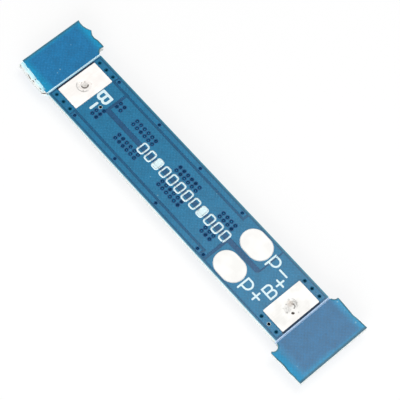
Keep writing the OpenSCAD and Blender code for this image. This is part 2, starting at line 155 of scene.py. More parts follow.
def vectorCalc(operation, *values, which=0):
    return output(treeOf(values), "ShaderNodeVectorMath", dict(enumerate(values)),
                  {"operation": operation}, which)


def split(value):
    return addNode(value.id_data, "ShaderNodeSeparateXYZ", {0: value}).outputs[:3]


def vector(tree, x=0.0, y=0.0, z=0.0):
    return output(tree, "ShaderNodeCombineXYZ", {0: x, 1: y, 2: z})


def fade(value, low, high, start=0.0, end=1.0):
    # eases from start to end while value runs from low to high
    return output(value.id_data, "ShaderNodeMapRange",
                  {"Value": value, "From Min": low, "From Max": high, "To Min": start,
                   "To Max": end}, {"interpolation_type": "SMOOTHSTEP"}, "Result")


def mixColour(factor, a, b, blend="MIX"):
    return output(treeOf((factor, a, b)), "ShaderNodeMix", {0: factor, 6: a, 7: b},
                  {"data_type": "RGBA", "blend_type": blend}, 2)


def shaded(colour, shade):
    grey = output(shade.id_data, "ShaderNodeCombineColor", {0: shade, 1: shade, 2: shade})
    return mixColour(1.0, colour, grey, "MULTIPLY")


def noise(coords, scale, detail=3.0, roughness=0.5):
    # scale is in features per millimetre
    return output(coords.id_data, "ShaderNodeTexNoise",
                  {"Vector": coords, "Scale": scale / mm, "Detail": detail,
                   "Roughness": roughness}, which="Fac")


def jitter(coords, amount, *texture):
    # noise that swings both ways round nought
    return times(minus(noise(coords, *texture), 0.5), amount)


def stretched(coords, scale):
    return output(coords.id_data, "ShaderNodeMapping", {"Vector": coords, "Scale": scale})


def bump(height, distance, strength=1.0, normal=None):
    inputs = {"Height": height, "Distance": distance, "Strength": strength}
    if normal is not None:
        inputs["Normal"] = normal
    return output(height.id_data, "ShaderNodeBump", inputs, which="Normal")


def emptyTree(owner):
    owner.use_nodes = True
    owner.node_tree.nodes.clear()
    return owner.node_tree


def newMaterial(name, plain=None):
    material = bpy.data.materials.new(name)
    tree = emptyTree(material)
    shader = addNode(tree, "ShaderNodeBsdfPrincipled", plain)
    addNode(tree, "ShaderNodeOutputMaterial", {"Surface": shader.outputs[0]})
    return material, shader, output(tree, "ShaderNodeTexCoord", which="Object")


def newTree(name, kind, inputs, outputs):
    # a node group: its inputs' sockets and its last node; sockets are {kind: names}
    tree = bpy.data.node_groups.new(name, kind)
    for way, sockets in (("INPUT", inputs), ("OUTPUT", outputs)):
        for socketKind, names in sockets.items():
            for title in names.split():
                tree.interface.new_socket(title, in_out=way,
                                          socket_type="NodeSocket" + socketKind)
    return addNode(tree, "NodeGroupInput").outputs, addNode(tree, "NodeGroupOutput")


def shaderGroup(name, vectors, numbers, results):
    return newTree(name, "ShaderNodeTree", {"Vector": vectors, "Float": numbers},
                   {"Float": results})


def useGroup(group, **inputs):
    return addNode(treeOf(inputs.values()), "ShaderNodeGroup", inputs,
                   {"node_tree": group}).outputs


# small tools for meshes


def evaluatedMesh(piece):
    graph = bpy.context.evaluated_depsgraph_get()
    return bpy.data.meshes.new_from_object(piece.evaluated_get(graph))


def weldedShape(mesh, gap):
    shape = bmesh.new()
    shape.from_mesh(mesh)
    bmesh.ops.remove_doubles(shape, verts=shape.verts, dist=gap)
    return shape


def addShape(name, shape):
    mesh = bpy.data.meshes.new(name)
    shape.to_mesh(mesh)
    shape.free()
    return addObject(name, mesh)


def finishPiece(piece, material=None):
    if material:
        piece.data.materials.clear()
        piece.data.materials.append(material)
    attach(piece, "root")


def dress(material, endings):
    # gives a better material to the CAD nodes whose names end so
    for name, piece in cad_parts.items():
        if name.endswith(endings):
            if not piece.material_slots:
                piece.data.materials.append(material)
            for holder in piece.material_slots:
                holder.material = material


# shared shader effects


def makeWeave():
    # plain-woven glass cloth: two families of threads that pass over and under
    given, result = shaderGroup("glassWeave", "coords", "pitch", "height thread")
    wave = calc("DIVIDE", 2 * math.pi, given["pitch"])
    x, y = split(given["coords"])[:2]
    checks = times(calc("SINE", times(x, wave)), calc("SINE", times(y, wave)))
    height = plus(times(checks, 0.5), noise(given["coords"], 6.0, 2.0))
    return connect(result, {"height": height, "thread": fade(checks, -0.8, 0.8)})


def makeGrain():
    # fine even grain with slow drift, for mouldings, metal and ink
    given, result = shaderGroup("surfaceGrain", "coords", "fineness", "height drift")
    fine = output(result.id_data, "ShaderNodeTexNoise",
                  {"Vector": given["coords"], "Scale": given["fineness"], "Detail": 4.0},
                  which="Fac")
    return connect(result, {"height": fine, "drift": noise(given["coords"], 0.7, 2.0)})


def fromCentre(coords, centre):
    # the way from a centre in the board's plane, and its length
    way = vectorCalc("MULTIPLY", vectorCalc("SUBTRACT", coords, centre), (1, 1, 0))
    return way, vectorCalc("LENGTH", way, which="Value")


def makeStain():
    # a ragged blotch round a centre
    given, result = shaderGroup("stain", "coords centre", "radius ragged", "mask")
    coords = given["coords"]
    share = calc("DIVIDE", fromCentre(coords, given["centre"])[1], given["radius"])
    edge = plus(share, jitter(coords, given["ragged"], 3.2, 4.0, 0.65))
    holes = times(fade(noise(coords, 6.0), 0.58, 0.42), calc("MINIMUM", given["ragged"], 1.0))
    holes = calc("MULTIPLY_ADD", holes, -0.55, 1.0)
    return connect(result, {"mask": times(fade(edge, 1.0, 0.55), holes)})


def makeFluxAndShadeRing():
    # part of a ring round a centre, on the side that the heading points to; it paints burnt flux,
    # and the shade in a dished hole
    given, result = shaderGroup("fluxAndShadeRing", "coords centre heading", "radius width reach", "mask")
    coords = given["coords"]
    way, distance = fromCentre(coords, given["centre"])
    away = minus(plus(distance, jitter(coords, given["width"], 3.5)), given["radius"])
    share = calc("DIVIDE", sizeOf(away), given["width"])
    along = vectorCalc("DOT_PRODUCT", vectorCalc("NORMALIZE", way), given["heading"],
                       which="Value")
    sweep = times(fade(minus(along, given["reach"]), -0.15, 0.2),
                  fade(noise(coords, 7.0), 0.3, 0.55, 0.55, 1.0))
    return connect(result, {"mask": times(sweep, fade(share, 1.0, 0.35))})


def makeTornGlow():
    # light round the torn edge of the mask above the minus rail's ledge: mask is how near a
    # point of the ledge lies to it, and thin how near a point of the mask lies. The edge runs
    # at a slant, and middle is its depth where its line would cross the board's middle
    given, result = shaderGroup("tornGlow", "coords", "middle slant ragged reach railStart",
                                "mask thin")
    x, y = split(given["coords"])[:2]
    edge = calc("MULTIPLY_ADD", x, given["slant"], given["middle"])
    rough = minus(noise(given["coords"], 1.7, 4.0, 0.6), 0.5)
    edge = calc("MULTIPLY_ADD", rough, given["ragged"], edge)
    past = times(plus(y, edge), -1.0)
    near = times(fade(past, -0.30 * mm, -0.15 * mm),
                 fade(past, 0.05 * mm, given["reach"], 1.0, 0.0))
    rail = fade(plus(x, given["railStart"]), 0.0, -0.4 * mm)
    thin = fade(past, -0.10 * mm, 0.04 * mm)
    return connect(result, {"mask": times(near, rail), "thin": times(thin, rail)})


weave = makeWeave()
grain = makeGrain()
stain = makeStain()
fluxAndShadeRing = makeFluxAndShadeRing()
tornGlow = makeTornGlow()

# solder mask over copper and bare laminate
mask = {
    "overCopper": (0.010, 0.178, 0.345, 1),
    "overGap": (0.007, 0.090, 0.215, 1),
    "gateGap": (0.002, 0.100, 0.225, 1),
    "gateBand": (2.2 * mm, 2.6 * mm),  # the gaps outside it are gateGap
    "border": (0.034, 0.212, 0.312, 1),
    "foot": (0.09 * mm, 0.02 * mm, 0.0, 0.45),  # painted shade along the copper's step near each long edge
    "bareEdge": (0.56, 0.84, 0.94, 1),  # where the mask stops short of a long edge
    "bareEdgeBand": (halfWidth - 0.08 * mm, halfWidth - 0.01 * mm),
    # the dark strip beside a tab's outer side: painted shade, with burnt flux
    "besideTab": (0.003, 0.020, 0.050, 1),
    "minusRail": (0.006, 0.184, 0.415, 1),
    # the rails' edge colours are painted light coming through the laminate
    "minusRailEdgeLight": (0.001, 0.300, 0.550, 1),
    # both rails are one mask: the plus rail's greyer blue is painted sheen
    "plusRail": (0.022, 0.153, 0.325, 1),
    "plusRailEdgeLight": (0.002, 0.276, 0.520, 1),
    "minusRim": (0.032, 0.160, 0.245, 1),  # darker band along a rail's end
    "plusRim": (0.022, 0.105, 0.160, 1),
    "rimDepths": (0.34 * mm, 0.14 * mm),
    "rimStrength": 0.85,
    "speck": (0.30, 0.58, 0.70, 1),
    "speckStrength": 0.55,
    "fibre": (0.95, 0.96, 0.94, 1),
    "fibreShade": (0.76, 0.80, 0.78, 1),
    "underMask": (0.76, 0.94, 0.97, 1),  # light that leaves the fibre through the mask
    "throughMask": (0.68, 0.94, 1.00, 1),  # the same, on the ledge that a snap left
    # the grooves' pale blue is painted light, brighter at the minus end
    "minusGrooveGlow": (0.75, 0.935, 1.00, 1),
    "plusGrooveGlow": (0.65, 0.79, 0.94, 1),
    "offCentre": 0.03 * mm,  # how far the mask lies off the board's middle line
    "roughness": 0.24,
    "fibreRoughness": 0.62,
    "wornRoughness": 0.13,  # added towards the plus rail's near edge
    "wornBand": (-3.9 * mm, -4.5 * mm),
    "railBand": (halfLength, halfLength + 0.02 * mm),
    "paintedTabShadeStrip": (18.50 * mm, 18.86 * mm, 2.75 * mm),  # in the shade of a tab's outer side
    "weavePitch": 0.46 * mm,
}
specks = (  # dust and nicks in the mask: place and radius in millimetres
    ((-20.43, -0.80), 0.11), ((-20.28, -1.30), 0.10), ((-22.10, 2.10), 0.06),
    ((22.80, 4.02), 0.13), ((19.85, 4.12), 0.12), ((21.05, 4.10), 0.07),
    ((22.40, -3.90), 0.08), ((-1.69, -2.43), 0.09), ((-3.87, -1.60), 0.08),
    ((9.10, 3.20), 0.06), ((2.30, 2.55), 0.06),
)
ledge = {  # where the mask is torn back on the minus rail
    "middle": 4.90 * mm,
    "slant": 0.065,
    "ragged": 0.5 * mm,
    "reach": 0.50 * mm,
    "railStart": halfLength + 0.4 * mm,
}
railLight = {  # for each rail, middle and half width of its mask and the reach at the lower side
    "minus": (0.62 * mm, 4.10 * mm, 1.05 * mm),
    "plus": (-0.25 * mm, 4.66 * mm, 1.70 * mm),
    "upperReach": 1.05 * mm,
    "corner": 0.6 * mm,
    "fromEnd": 1.6,  # how much faster it fades inwards from the board's end
}


def edgeLight(x, y, side):
    # how near a point of a rail lies to its outer edges, where light comes through
    middle, half, lowerReach = railLight[side]
    sideways = minus(half, sizeOf(minus(y, middle)))
    outwards = times(minus(boardHigh.x, x), railLight["fromEnd"])
    near = calc("SMOOTH_MIN", sideways, outwards, railLight["corner"])
    return fade(near, fade(y, -mm, mm, lowerReach, railLight["upperReach"]), 0.0)


def makeBoardMaterial():
    material, shader, coords = newMaterial("solderMask", {"IOR": 1.5, "Specular IOR Level": 0.29})
    x, y, z = split(coords)
    length, width = sizeOf(x), sizeOf(y)
    plusSide = fade(x, -mm, mm)
    facing = split(output(shader.id_data, "ShaderNodeNewGeometry", which="Normal"))[2]
    steep = minus(1.0, fade(sizeOf(facing), 0.9, 0.98))
    # copper stands proud of the laminate on both faces
    level = sizeOf(minus(z, midLevel))
    laminateHalf = laminateTop - midLevel
    copper = fade(level, laminateHalf + 0.3 * board["relief"],
                  laminateHalf + 0.7 * board["relief"])
    # the bare strip along each long edge lets a little light through
    margin = halfWidth - board["copperMargin"]
    laminate = mixColour(fade(width, *mask["gateBand"]), mask["overGap"], mask["gateGap"])
    laminate = mixColour(fade(width, margin, halfWidth - 0.05 * mm), laminate, mask["border"])
    field = mixColour(copper, laminate, mask["overCopper"])
    # painted shade along the copper's step
    field = mixColour(fade(sizeOf(minus(width, margin)), *mask["foot"]), field, mask["overGap"])
    # painted shade, with burnt flux, on the board beside each tab's outer side
    inner, outer, reach = mask["paintedTabShadeStrip"]
    strip = times(fade(length, inner, inner + 0.06 * mm), fade(length, outer, outer - 0.04 * mm))
    strip = times(strip, fade(width, reach, reach - 0.2 * mm))
    field = mixColour(strip, field, mask["besideTab"])
    edge = fade(sizeOf(minus(y, mask["offCentre"])), *mask["bareEdgeBand"])
    field = mixColour(edge, field, mask["bareEdge"])
    rails = mixColour(plusSide, *(
        mixColour(edgeLight(length, y, side), mask[side + "Rail"], mask[side + "RailEdgeLight"])
        for side in sides))
    darkEndBand = fade(length, *(boardHigh.x - depth for depth in mask["rimDepths"]), 0.0,
                   mask["rimStrength"])
    rails = mixColour(darkEndBand, rails, mixColour(plusSide, mask["minusRim"], mask["plusRim"]))
    colour = mixColour(fade(length, *mask["railBand"]), field, rails)
    # slow patches of thicker mask, fine mottling and the threads of the cloth
    mottle = noise(coords, 5.0, 3.0, 0.6)
    thread = useGroup(weave, coords=coords, pitch=mask["weavePitch"])
    shade = plus(fade(noise(coords, 1.1, 4.0, 0.6), 0.3, 0.7, 0.92, 1.08),
                 fade(mottle, 0.3, 0.7, -0.09, 0.09))
    shade = plus(shade, fade(thread["thread"], 0.0, 1.0, -0.06, 0.06))
    colour = shaded(colour, shade)
    for place, radius in specks:
        speck = useGroup(stain, coords=coords, centre=(*(c * mm for c in place), 0),
                         radius=radius * mm, ragged=0.6)["mask"]
        colour = mixColour(times(speck, mask["speckStrength"]), colour, mask["speck"])
    # routed walls and score grooves show the glass fibre; the grooves' pale blue is painted light
    groove = fade(sizeOf(minus(length, halfLength)), board["scoreHalfWidth"] * 1.3,
                  board["scoreHalfWidth"])
    plies = noise(stretched(coords, (0.1, 0.1, 1)), 8.0)
    fibre = mixColour(fade(plies, 0.35, 0.65, 0.0, 0.25), mask["fibre"], mask["fibreShade"])
    underMask = fade(level, laminateHalf - 0.16 * mm, laminateHalf, 0.0, 0.7)
    fibre = mixColour(underMask, fibre, mask["underMask"])
    fibre = mixColour(groove, fibre, mixColour(plusSide, mask["minusGrooveGlow"], mask["plusGrooveGlow"]))
    torn = useGroup(tornGlow, coords=coords, **ledge)
    fibre = mixColour(torn["mask"], fibre, mask["throughMask"])
    thin = times(torn["thin"], fade(z, midLevel, laminateTop, 0.0, 0.5))
    colour = mixColour(thin, colour, mask["throughMask"])
    # bare: walls below the mask, the grooves' sides, and the ledge that the snap left
    bare = calc("MAXIMUM", times(fade(level, laminateHalf + 0.1 * board["relief"],
                                      laminateHalf), steep), times(groove, steep))
    sunk = fade(level, laminateHalf - 0.05 * mm, laminateHalf - 0.1 * mm)
    bare = calc("MAXIMUM", bare, sunk)
    rough = plus(fade(bare, 0.0, 1.0, mask["roughness"], mask["fibreRoughness"]),
                 fade(mottle, 0.3, 0.7, -0.03, 0.05))
    worn = times(fade(y, *mask["wornBand"]), fade(x, *mask["railBand"]))
    rough = calc("MULTIPLY_ADD", worn, mask["wornRoughness"], rough)
    dimples = bump(mottle, 0.003 * mm, 0.6, bump(thread["height"], fineDepth, 0.5))
    connect(shader, {"Base Color": mixColour(bare, colour, fibre), "Roughness": rough,
                     "Normal": dimples})
    return material


dress(makeBoardMaterial(), "circuit_board")
print("board dressed")

# nickel, tin, solder and lead frame
tabFinish = {
    # both tabs are the same nickel; the minus tab's lighter colour is painted light
    "nickel": {"minus": (0.892, 0.868, 0.845, 1), "plus": (0.842, 0.834, 0.814, 1)},
    "nickelRoughness": 0.7,
    "solder": (0.70, 0.69, 0.67, 1),
    "solderRoughness": 0.62,
    "burntFluxAndShade": (0.045, 0.032, 0.024, 1),
    "brown": (0.50, 0.37, 0.27, 1),
    "grey": (0.36, 0.35, 0.33, 1),
    "dullness": 0.95,  # how much metal shine the marks take away
}
# marks on the tabs: places are along and across from the tab's middle, in millimetres
tabRings = {  # middle, radius, width, heading in degrees, half spread, strength, colour
    # on the minus tab these paint the shade in the dish round the hole: the dark crescent inside
    # it and the lower half of the ring round it; the rest is flux
    "minus": (
        ((-0.13, 0.02), 0.40, 0.115, -25, 80, 0.97, "burntFluxAndShade"),
        ((-0.13, 0.02), 0.42, 0.075, -135, 50, 0.50, "grey"),
        ((-0.13, -0.06), 0.83, 0.095, -80, 72, 0.55, "grey"),
        ((-0.13, 0.02), 0.62, 0.07, -100, 60, 0.22, "brown"),
    ),
    "plus": (
        ((0.09, 0.05), 0.29, 0.085, 75, 78, 0.72, "burntFluxAndShade"),
        ((0.03, 0.22), 0.43, 0.06, 130, 52, 0.60, "grey"),
        ((-0.20, 0.20), 0.55, 0.065, 70, 66, 0.45, "grey"),
    ),
}
tabSpots = {  # middle, radius, raggedness, strength, colour
    "minus": (
        ((0.39, -0.63), 0.14, 0.6, 0.60, "grey"),
        ((-0.29, -0.66), 0.10, 0.6, 0.40, "grey"),
        ((-0.40, 0.24), 0.15, 0.8, 0.60, "grey"),
        ((-0.10, 0.06), 0.60, 1.2, 0.14, "brown"),
        ((0.30, 0.62), 0.14, 0.9, 0.28, "brown"),
    ),
    "plus": (
        ((-0.27, 0.14), 0.42, 1.2, 0.42, "brown"),
        ((-0.72, 0.28), 0.16, 1.0, 0.34, "grey"),
        ((0.04, 0.46), 0.46, 2.2, 0.40, "grey"),
        ((0.00, 0.33), 0.13, 0.8, 0.65, "burntFluxAndShade"),
        ((0.05, -0.60), 0.48, 2.2, 0.36, "grey"),
        ((-0.33, -0.50), 0.16, 1.2, 0.25, "grey"),
        ((0.28, -0.82), 0.14, 0.8, 0.62, "grey"),
        ((-0.48, -0.28), 0.11, 0.5, 0.65, "grey"),
        # a small pit: its darkness is painted shade
        ((0.69, -0.43), 0.18, 0.1, 1.00, "burntFluxAndShade"),
        ((0.76, -0.35), 0.16, 0.1, 1.00, "burntFluxAndShade"),
        ((1.02, 0.13), 0.09, 0.5, 0.55, "grey"),
    ),
}


def metalMaterial(name, colour, roughness, fineness, spread=0.04, dim=0.9):
    material, shader, coords = newMaterial(name, {"Metallic": 1.0})
    texture = useGroup(grain, coords=coords, fineness=fineness / mm)
    dark = (*(c * dim for c in colour[:3]), 1)
    tint = mixColour(fade(texture["drift"], 0.35, 0.65), dark, colour)
    rough = fade(texture["drift"], 0.3, 0.7, roughness + spread, roughness - spread)
    connect(shader, {"Base Color": tint, "Roughness": rough,
                     "Normal": bump(texture["height"], fineDepth, 0.5)})
    return material, shader, coords, tint


def addMarks(coords, side, tint):
    # marks round the solder hole, burnt flux and painted shade in the dish: the tint with them,
    # and how metallic that leaves it
    middle = centreOf("nickel_tab_" + side)
    marks = []
    for place, radius, width, heading, spread, *look in tabRings[side]:
        turn = math.radians(heading)
        marks.append((fluxAndShadeRing, place, radius, *look, {
            "width": width * mm, "heading": (math.cos(turn), math.sin(turn), 0),
            "reach": math.cos(math.radians(spread))}))
    for place, radius, ragged, *look in tabSpots[side]:
        marks.append((stain, place, radius, *look, {"ragged": ragged}))
    cover = None
    for group, place, radius, strength, colour, more in marks:
        centre = (middle.x + place[0] * mm, middle.y + place[1] * mm, 0)
        share = useGroup(group, coords=coords, centre=centre, radius=radius * mm, **more)["mask"]
        weight = times(share, strength)
        tint = mixColour(weight, tint, tabFinish[colour])
        cover = weight if cover is None else calc("MAXIMUM", cover, weight)
    return tint, minus(1.0, times(cover, tabFinish["dullness"]))


def makeNickel(side):
    # cold-rolled strip: faint lines along it
    material, shader, coords, tint = metalMaterial(
        "nickel_" + side, tabFinish["nickel"][side], tabFinish["nickelRoughness"], 9.0, dim=0.96)
    lines = noise(stretched(coords, (1, 0.06, 1)), 14.0, 2.0)
    tint = mixColour(fade(lines, 0.35, 0.7, 0.0, 0.05), tint, tabFinish["grey"])
    tint, metal = addMarks(coords, side, tint)
    connect(shader, {"Base Color": tint, "Metallic": metal,
                     "Normal": bump(lines, fineDepth, 0.5)})
    return material


def makeTabSolder(side):
    # level with the tab in its hole, and dark down the tab's outer side: painted shade, with
    # burnt flux
    material, shader, coords, tint = metalMaterial(
        "tabSolder_" + side, tabFinish["solder"], tabFinish["solderRoughness"], 6.0)
    tint, metal = addMarks(coords, side, tint)
    edge = max(abs(corner.x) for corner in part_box("nickel_tab_" + side))
    # the outer side's dark colour is painted shade, with burnt flux
    outer = fade(sizeOf(split(coords)[0]), edge - 0.01 * mm, edge + 0.02 * mm)
    connect(shader, {"Base Color": mixColour(outer, tint, mask["besideTab"]),
                     "Metallic": times(metal, minus(1.0, outer))})
    return material


for side in sides:
    dress(makeNickel(side), "nickel_tab_" + side)
    dress(makeTabSolder(side), "tab_solder_" + side)

metals = {  # ends of the nodes' names, colour, roughness and grain; for the pads their spread too
    "padTin": (("pad_minus", "pad_plus"), (0.812, 0.806, 0.79, 1), 0.68, 4.0, 0.02, 0.975),
    "solder": ("_solder", (0.78, 0.775, 0.76, 1), 0.24, 5.0),
    "leadFrame": ("_leads", (0.72, 0.72, 0.71, 1), 0.32, 14.0),
    "chipEndTin": ("_ends", (0.74, 0.74, 0.73, 1), 0.4, 16.0),
}
mouldings = {  # ends of names, colour, darker colour, roughness, grain and its depth in mm
    "packageEpoxy": (("_1_body", "_2_body", "_3_body", "_ic_body"), (0.026, 0.026, 0.028, 1),
                     (0.018, 0.018, 0.02, 1), 0.5, 22.0, 0.012),
    "resistorOvercoat": ("_resistor_body", (0.014, 0.014, 0.016, 1), (0.02, 0.02, 0.022, 1),
                         0.28, 12.0, 0.006),
    "capacitorCeramic": ("_capacitor_body", (0.42, 0.29, 0.17, 1), (0.36, 0.24, 0.14, 1),
                         0.42, 15.0, 0.006),
}


def plainMaterial(name, colour, dark, roughness, fineness, depth):
    material, shader, coords = newMaterial(name)
    texture = useGroup(grain, coords=coords, fineness=fineness / mm)
    tint = mixColour(fade(texture["drift"], 0.35, 0.65), colour, dark)
    rough = fade(texture["height"], 0.3, 0.7, roughness - 0.05, roughness + 0.05)
    connect(shader, {"Base Color": tint, "Roughness": rough,
                     "Normal": bump(texture["height"], depth * mm)})
    return material


for name, (endings, *finish) in metals.items():
    dress(metalMaterial(name, *finish)[0], endings)
for name, (endings, *finish) in mouldings.items():
    dress(plainMaterial(name, *finish), endings)
print("metals, packages and chip parts dressed")

# print
ink = {
    "thickness": 0.018 * mm,
    "stroke": 0.215 * mm,
    "heavyStroke": 0.30 * mm,
    "colour": (0.79, 0.97, 1.00, 1),
    "thin": (0.74, 0.92, 0.98, 1),
}
inkMaterial = plainMaterial("printInk", ink["colour"], ink["thin"], 0.55, 12.0, 0.004)
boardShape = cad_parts["circuit_board"].data
boardTree = BVHTree.FromPolygons([v.co.copy() for v in boardShape.vertices],
                                 [tuple(p.vertices) for p in boardShape.polygons])


def surfaceAt(x, y):
    # the board's upper surface at a place, or None past its outline
    return boardTree.ray_cast(Vector((x, y, padSide + mm)), Vector((0, 0, -1)))[0]


def arc(centre, radius, start, end, steps=10):
    # points on a round stretch, angles in degrees
    turns = [math.radians(start + (end - start) * i / steps) for i in range(steps + 1)]
    return [(centre[0] + radius * math.cos(t), centre[1] + radius * math.sin(t)) for t in turns]


def capsule(length, stroke):
    r = stroke / 2
    half = length / 2 - r
    return [arc((half, 0), r, -90, 90, 6) + arc((-half, 0), r, 90, 270, 6)]


def crossShape(span, stroke):
    r = stroke / 2
    half = span / 2 - r
    points = []
    for quarter in range(4):
        turn = Matrix.Rotation(quarter * math.pi / 2, 2)
        arm = arc((half, 0), r, -90, 90, 6) + [(r, r)]
        points += [tuple(turn @ Vector(p)) for p in arm]
    return [points]


def letterP(width, height, stroke):
    bowl = 0.74 * height
    r = bowl / 2
    centre = (width - r, height - r)
    soft = stroke * 0.4
    outer = (arc((soft, soft), soft, 180, 270, 4) + arc((stroke - soft, soft), soft, 270, 360, 4)
             + [(stroke, height - bowl)] + arc(centre, r, -90, 90, 12)
             + arc((soft, height - soft), soft, 90, 180, 4))
    hole = ([(stroke, height - bowl + stroke)] + arc(centre, r - stroke, -90, 90, 10)
            + [(stroke, height - stroke)])
    return [outer, hole]


def letterB(width, height, stroke):
    middle = height * 0.5
    r = (height - middle + stroke / 2) / 2
    inner = r - stroke
    upper, lower = (width - r, height - r), (width - r, r)
    soft = stroke * 0.4
    waist = math.degrees(math.asin((middle - r) / r))
    outer = (arc((soft, soft), soft, 180, 270, 4) + arc(lower, r, -90, waist, 12)
             + arc(upper, r, -waist, 90, 12) + arc((soft, height - soft), soft, 90, 180, 4))
    holes = [[(stroke, c[1] - inner)] + arc(c, inner, -90, 90, 10) + [(stroke, c[1] + inner)]
             for c in (lower, upper)]
    return [outer] + holes


def printed(name, outlines, place, turn):
    # a printed shape: filled outlines at their place and turn
    curve = bpy.data.curves.new(name, "CURVE")
    curve.dimensions, curve.fill_mode, curve.extrude = "2D", "BOTH", ink["thickness"] / 2
    for outline in outlines:
        spline = curve.splines.new("POLY")
        spline.points.add(len(outline) - 1)
        for point, (px, py) in zip(spline.points, outline):
            point.co = (px, py, 0, 1)
        spline.use_cyclic_u = True
    piece = addObject(name, curve)
    mesh = evaluatedMesh(piece)
    bpy.data.objects.remove(piece)
    mesh.transform(Matrix.Translation((*place, 0)) @ Matrix.Rotation(turn, 4, "Z"))
    return mesh


def drape(mesh, cuts):
    # cuts the shape where the relief steps, then lets each point down onto the board
    shape = weldedShape(mesh, 0.0005 * mm)
    for normal, position in cuts:
        bmesh.ops.bisect_plane(shape, geom=shape.verts[:] + shape.edges[:] + shape.faces[:],
                               plane_co=Vector(normal) * position, plane_no=normal)
    for vert in shape.verts:
        hit = surfaceAt(vert.co.x, vert.co.y)
        vert.co.z += (padSide if hit is None else hit.z) + ink["thickness"] / 2
    bmesh.ops.recalc_face_normals(shape, faces=shape.faces)
    shape.to_mesh(mesh)
    shape.free()


terminals = {  # glyph, place of its lower left corner or middle, turn, sizes and stroke
    "cellMinus": (letterB, (-15.35, 1.36), -90, (1.30, 1.70), "heavyStroke"),
    "cellMinusBar": (capsule, (-14.50, -0.80), 90, (1.20,), "heavyStroke"),
    "outMinus": (letterP, (11.70, 1.03), 0, (1.28, 1.71), "stroke"),
    "outMinusBar": (capsule, (13.84, 1.86), 0, (1.26,), "stroke"),
    "outPlus": (letterP, (11.74, -2.92), 0, (1.25, 1.74), "stroke"),
    "outPlusCross": (crossShape, (13.87, -2.05), 0, (1.22,), "stroke"),
    "cellPlus": (letterB, (15.24, -1.19), 90, (1.22, 1.64), "stroke"),
    "cellPlusCross": (crossShape, (14.45, 0.85), 0, (1.18,), "stroke"),
}
# the gap in the copper that the output marks cross: both sides of each of its edges
reliefSteps = [((1, 0, 0), (12.10 + side * (0.09 + step)) * mm)
               for side in (-1, 1) for step in (-0.01, 0.01)]


def makeMarks():
    whole = bmesh.new()
    for name, (glyph, place, turn, sizes, stroke) in terminals.items():
        outlines = glyph(*(length * mm for length in sizes), ink[stroke])
        mesh = printed(name, outlines, (place[0] * mm, place[1] * mm), math.radians(turn))
        drape(mesh, reliefSteps)
        whole.from_mesh(mesh)
    finishPiece(addShape("terminalMarks", whole), inkMaterial)


makeMarks()
print("terminal marks printed")

# small tools for geometry trees, which take a shape, numbers and a coat
roundSteps, sectionSteps = 16, 6  # sides of a ring, and of the section that runs round it


def geometryTree(name, numbers, wholeNumbers=""):
    given, result = newTree(name, "GeometryNodeTree", {
        "Geometry": "shape", "Float": numbers, "Int": wholeNumbers, "Material": "coat"},
        {"Geometry": "shape"})
    return given, result, result.id_data


def closeTree(given, result, shape, last=None):
    # real geometry in one material
    real = output(result.id_data, "GeometryNodeRealizeInstances", {0: shape})
    real = last(real) if last else real
    coated = output(result.id_data, "GeometryNodeSetMaterial",
                    {"Geometry": real, "Material": given["coat"]})
    return connect(result, {"shape": coated})


def circle(tree, steps, radius):
    return output(tree, "GeometryNodeCurvePrimitiveCircle",
                  {"Resolution": steps, "Radius": radius}, {"mode": "RADIUS"})


def rectangle(width, height):
    return output(width.id_data, "GeometryNodeCurvePrimitiveQuadrilateral",
                  {"Width": width, "Height": height})


def swept(line, section, caps=False):
    return output(line.id_data, "GeometryNodeCurveToMesh",
                  {"Curve": line, "Profile Curve": section, "Fill Caps": caps})


def placed(shape, scale=1.0, lift=0.0):
    # scales a shape's height, then lifts it
    tree = shape.id_data
    return output(tree, "GeometryNodeTransform",
                  {"Geometry": shape, "Scale": vector(tree, 1.0, 1.0, scale),
                   "Translation": vector(tree, z=lift)})


def onPoints(points, shape, **more):
    return output(points.id_data, "GeometryNodeInstanceOnPoints",
                  {"Points": points, "Instance": shape, **more})


def joined(*shapes):
    node = addNode(treeOf(shapes), "GeometryNodeJoinGeometry")
    for shape in shapes:
        connect(node, {0: shape})
    return node.outputs[0]


def above(value, level):
    return output(value.id_data, "FunctionNodeCompare", {0: value, 1: level},
                  {"data_type": "FLOAT", "operation": "GREATER_THAN"})


def logic(operation, first, *others):
    for other in others:
        first = output(first.id_data, "FunctionNodeBooleanMath", {0: first, 1: other},
                       {"operation": operation})
    return first


def growOn(piece, tree, values):
    # runs a geometry tree on a piece and keeps the result as its plain mesh
    modifier = piece.modifiers.new("grow", "NODES")
    modifier.node_group = tree
    for item in tree.interface.items_tree:
        if item.in_out == "INPUT" and item.name in values:
            modifier[item.identifier] = values[item.name]
    mesh = evaluatedMesh(piece)
    piece.modifiers.clear()
    piece.data = mesh
    return piece


# inspection boxes: a row of outlined fields along the middle, two of them filled in
boxes = {
    "first": -6.98 * mm,
    "pitch": 1.232 * mm,
    "count": 12,
    "width": 0.98 * mm,
    "height": 1.43 * mm,
    "middle": -0.03 * mm,
    "stroke": ink["stroke"] * 0.92,
    "thickness": ink["thickness"],
    "firstFilled": 2,
    "secondFilled": 8,
    "channel": (0.30 * mm, 0.32 * mm),  # where the relief steps beside the middle
}


